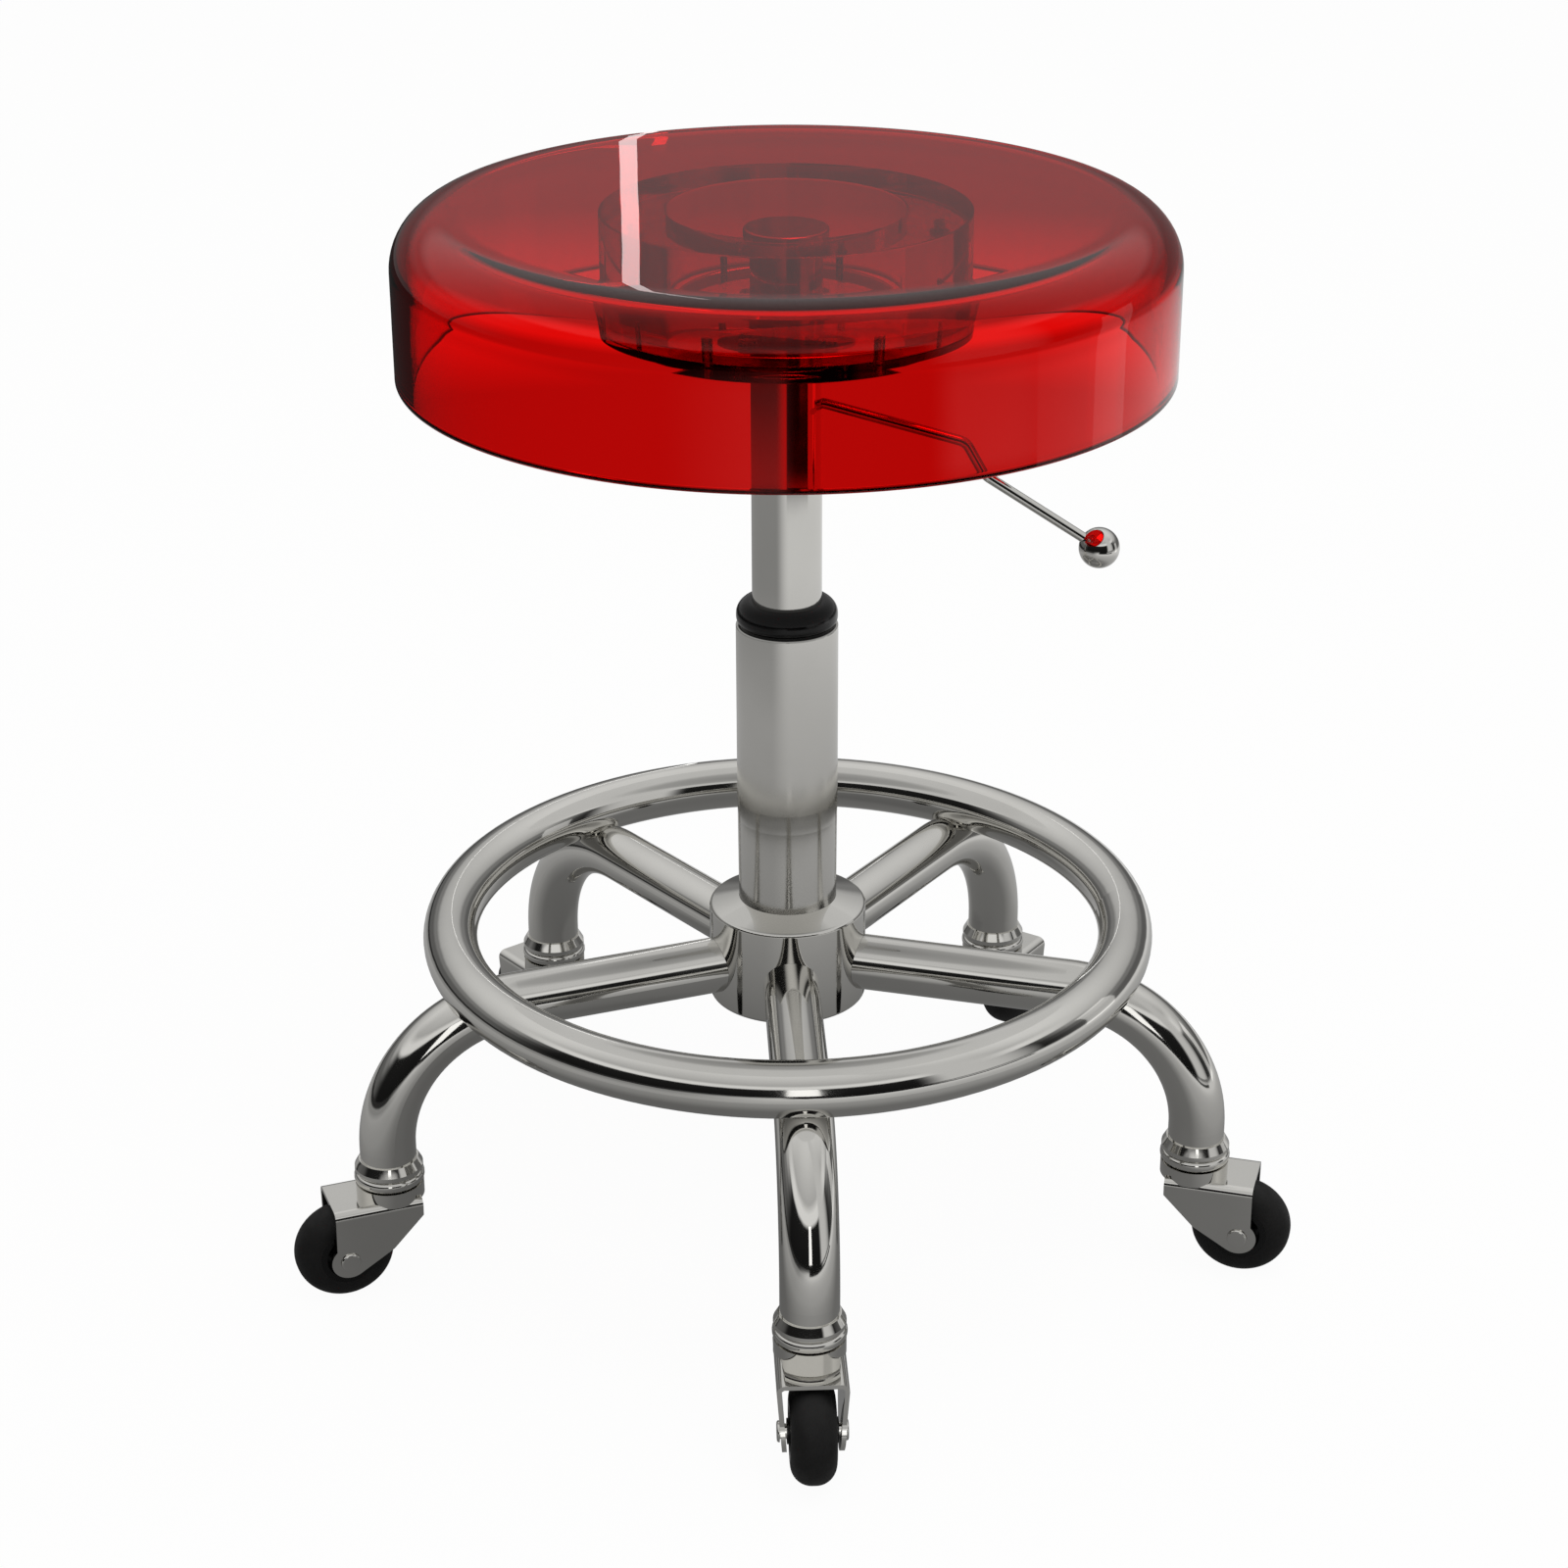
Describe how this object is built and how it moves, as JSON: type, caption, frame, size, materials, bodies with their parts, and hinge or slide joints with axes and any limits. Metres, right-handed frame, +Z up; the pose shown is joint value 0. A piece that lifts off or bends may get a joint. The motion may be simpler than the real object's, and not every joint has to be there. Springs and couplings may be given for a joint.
{
  "type": "rolling swivel stool",
  "caption": "Backless rolling stool with a clear red drum seat, a gas-lift column, a bent-tube base with a round foot ring, and swivel casters.",
  "frame": {"origin": "on the floor, on the axis of the column", "axes": "+Z up along the column; one leg points along -Y and the release lever along +X"},
  "size_m": [0.5028, 0.4791, 0.535],
  "materials": {
    "seat_acrylic": "polished clear red acrylic",
    "chrome": "polished chrome plate",
    "steel": "bare steel",
    "black_plastic": "moulded black plastic",
    "black_rubber": "dull black rubber"
  },
  "bodies": {
    "base": {"hub": "chrome", "leg_1": "chrome", "leg_2": "chrome", "leg_3": "chrome", "leg_4": "chrome", "leg_5": "chrome", "foot_ring": "chrome", "column_tube": "chrome", "guide_bush": "black_plastic", "column_floor": "steel", "thrust_race_lower": "steel", "thrust_balls": "steel", "caster_sockets": "chrome", "caster_stems": "chrome", "caster_balls": "steel"},
    "rod": {"piston_rod": "steel", "piston": "black_plastic", "thrust_race_upper": "steel", "bump_stop": "black_rubber", "rod_clip": "steel"},
    "seat": {"seat_shell": "seat_acrylic", "seat_ring": "seat_acrylic", "seat_mount_plate": "seat_acrylic", "seat_screws": "steel", "flange_bolts": "steel", "upper_tube": "chrome", "tube_cap": "chrome", "gas_cylinder": "steel", "rod_guide": "black_plastic", "lever_housing": "black_plastic", "lever_pivot_pin": "steel"},
    "lever": {"lever_rod": "chrome", "lever_knob": "chrome"},
    "pin": {"release_pin": "steel"},
    "fork_1": {"caster_1_fork": "chrome", "caster_1_axle": "chrome"},
    "wheel_1": {"caster_1_tyre": "black_rubber", "caster_1_core": "black_plastic"},
    "fork_2": {"caster_2_fork": "chrome", "caster_2_axle": "chrome"},
    "wheel_2": {"caster_2_tyre": "black_rubber", "caster_2_core": "black_plastic"},
    "fork_3": {"caster_3_fork": "chrome", "caster_3_axle": "chrome"},
    "wheel_3": {"caster_3_tyre": "black_rubber", "caster_3_core": "black_plastic"},
    "fork_4": {"caster_4_fork": "chrome", "caster_4_axle": "chrome"},
    "wheel_4": {"caster_4_tyre": "black_rubber", "caster_4_core": "black_plastic"},
    "fork_5": {"caster_5_fork": "chrome", "caster_5_axle": "chrome"},
    "wheel_5": {"caster_5_tyre": "black_rubber", "caster_5_core": "black_plastic"}
  },
  "joints": [
    {"name": "seat_swivel", "type": "hinge", "parent": "base", "child": "rod", "pos_m": [0, 0, 0.149], "axis": [0, 0, 1], "continuous": true},
    {"name": "seat_lift", "type": "slide", "parent": "rod", "child": "seat", "axis": [0, 0, 1], "range_m": [-0.09, 0.03]},
    {"name": "lever_pivot", "type": "hinge", "parent": "seat", "child": "lever", "pos_m": [0.012, 0, 0.44], "axis": [0, -1, 0], "range_deg": [0, 10], "stiffness_Nm_per_rad": 0.8},
    {"name": "pin_press", "type": "slide", "parent": "seat", "child": "pin", "axis": [0, 0, -1], "range_m": [0, 0.0025]},
    {"name": "caster_1_swivel", "type": "hinge", "parent": "base", "child": "fork_1", "pos_m": [0, -0.213, 0.057], "axis": [0, 0, 1], "continuous": true},
    {"name": "caster_1_roll", "type": "hinge", "parent": "fork_1", "child": "wheel_1", "pos_m": [0, -0.2385, 0.025], "axis": [1, 0, 0], "continuous": true},
    {"name": "caster_2_swivel", "type": "hinge", "parent": "base", "child": "fork_2", "pos_m": [0.20258, -0.06582, 0.057], "axis": [0, 0, 1], "continuous": true},
    {"name": "caster_2_roll", "type": "hinge", "parent": "fork_2", "child": "wheel_2", "pos_m": [0.22683, -0.0737, 0.025], "axis": [0.309, 0.9511, 0], "continuous": true},
    {"name": "caster_3_swivel", "type": "hinge", "parent": "base", "child": "fork_3", "pos_m": [0.1252, 0.17232, 0.057], "axis": [0, 0, 1], "continuous": true},
    {"name": "caster_3_roll", "type": "hinge", "parent": "fork_3", "child": "wheel_3", "pos_m": [0.14019, 0.19295, 0.025], "axis": [-0.809, 0.5878, 0], "continuous": true},
    {"name": "caster_4_swivel", "type": "hinge", "parent": "base", "child": "fork_4", "pos_m": [-0.1252, 0.17232, 0.057], "axis": [0, 0, 1], "continuous": true},
    {"name": "caster_4_roll", "type": "hinge", "parent": "fork_4", "child": "wheel_4", "pos_m": [-0.14019, 0.19295, 0.025], "axis": [-0.809, -0.5878, 0], "continuous": true},
    {"name": "caster_5_swivel", "type": "hinge", "parent": "base", "child": "fork_5", "pos_m": [-0.20258, -0.06582, 0.057], "axis": [0, 0, 1], "continuous": true},
    {"name": "caster_5_roll", "type": "hinge", "parent": "fork_5", "child": "wheel_5", "pos_m": [-0.22683, -0.0737, 0.025], "axis": [0.309, -0.9511, 0], "continuous": true}
  ],
  "couplings": [
    {"joint": "pin_press", "follows": "lever_pivot", "m_per_rad": 0.0135}
  ]
}
